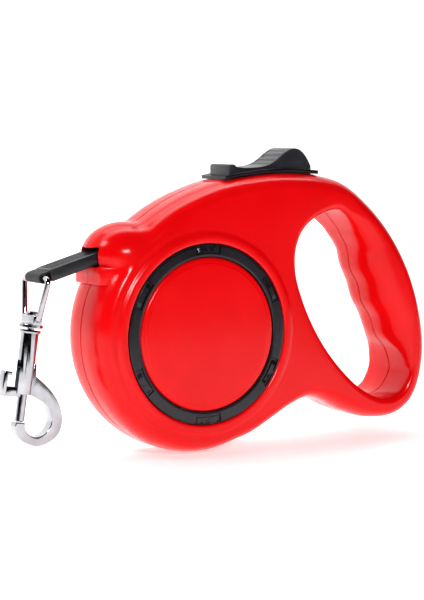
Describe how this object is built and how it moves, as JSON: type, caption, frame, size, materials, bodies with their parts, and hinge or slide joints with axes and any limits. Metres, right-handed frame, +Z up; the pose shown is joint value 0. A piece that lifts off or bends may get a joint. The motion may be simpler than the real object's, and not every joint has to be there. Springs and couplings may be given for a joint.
{
  "type": "retractable leash",
  "caption": "Hand-held casing with a sprung reel, flat tape in a stiff end sleeve, thumb brake on top, looped finger grip and a chrome swivel bolt snap.",
  "frame": {"origin": "centre of the hand grip, in the parting plane of the casing", "axes": "+X from the tape's mouth to the grip (the leash's back), +Y towards its right side, +Z up"},
  "size_m": [0.1953, 0.0344, 0.1215],
  "materials": {
    "red_plastic": "glossy moulded ABS",
    "black_plastic": "satin moulded plastic",
    "sleeve_plastic": "stiff moulded plastic with fine lengthwise ribs",
    "nylon": "natural acetal",
    "tape": "woven nylon tape",
    "spring_steel": "blue-grey spring steel",
    "steel": "zinc-plated steel",
    "chrome": "polished chrome plate"
  },
  "bodies": {
    "root": {"left_shell": "red_plastic", "right_shell": "red_plastic", "left_side_cover": "red_plastic", "right_side_cover": "red_plastic", "left_ring": "black_plastic", "right_ring": "black_plastic", "mouth_guide": "black_plastic", "button_bezel": "black_plastic", "axle": "steel", "axle_screw": "steel", "left_reel_washer": "nylon", "right_reel_washer": "nylon", "pawl_pin": "steel", "pawl_spring": "spring_steel", "power_spring": "spring_steel", "tape_lead": "tape", "case_screw_1": "steel", "case_screw_2": "steel", "case_screw_3": "steel", "case_screw_4": "steel"},
    "reel": {"reel_drum": "nylon", "reel_cap": "nylon", "reel_screw_1": "steel", "reel_screw_2": "steel", "reel_screw_3": "steel", "wound_tape": "tape"},
    "tape_end": {"tape_sleeve": "sleeve_plastic", "tape_loop": "tape"},
    "eye": {"swivel_eye": "chrome"},
    "snap": {"hook_body": "chrome", "swivel_pin": "chrome", "bolt_spring": "spring_steel"},
    "bolt": {"hook_bolt": "chrome"},
    "lock": {"lock_slider": "nylon", "button_pin": "steel", "button_spring": "spring_steel"},
    "button": {"brake_button": "black_plastic"},
    "pawl": {"brake_pawl": "nylon"}
  },
  "joints": [
    {"name": "tape_pull", "type": "slide", "parent": "root", "child": "tape_end", "axis": [-0.9613, 0, -0.2756], "range_m": [0, 5], "stiffness_N_per_m": 1, "springref_m": -4},
    {"name": "reel_spin", "type": "hinge", "parent": "root", "child": "reel", "pos_m": [-0.096, 0, -0.008], "axis": [0, -1, 0], "range_deg": [0, 9252]},
    {"name": "eye_swing", "type": "hinge", "parent": "tape_end", "child": "eye", "pos_m": [-0.16327, 0, 0.01651], "axis": [0, 1, 0], "range_deg": [-12, 150]},
    {"name": "snap_swivel", "type": "hinge", "parent": "eye", "child": "snap", "pos_m": [-0.16327, 0, 0.01651], "axis": [0.1426, 0, 0.9898], "continuous": true},
    {"name": "bolt_slide", "type": "slide", "parent": "snap", "child": "bolt", "axis": [0.1426, 0, 0.9898], "range_m": [0, 0.007], "stiffness_N_per_m": 250, "springref_m": -0.01, "deforming": ["bolt_spring"]},
    {"name": "lock_slide", "type": "slide", "parent": "root", "child": "lock", "axis": [-1, 0, 0], "range_m": [0, 0.002]},
    {"name": "brake_press", "type": "hinge", "parent": "lock", "child": "button", "pos_m": [-0.077, 0, 0.0523], "axis": [0, 1, 0], "range_deg": [0, 6.5], "stiffness_Nm_per_rad": 0.3, "springref_deg": -5.73, "deforming": ["button_spring"]},
    {"name": "pawl_swing", "type": "hinge", "parent": "root", "child": "pawl", "pos_m": [-0.059, 0, 0.0385], "axis": [0, 1, 0], "range_deg": [-9.1, 0]}
  ],
  "couplings": [
    {"joint": "reel_spin", "follows": "tape_pull", "rad_per_m": 32.296},
    {"joint": "pawl_swing", "follows": "brake_press", "ratio": -1.385}
  ]
}
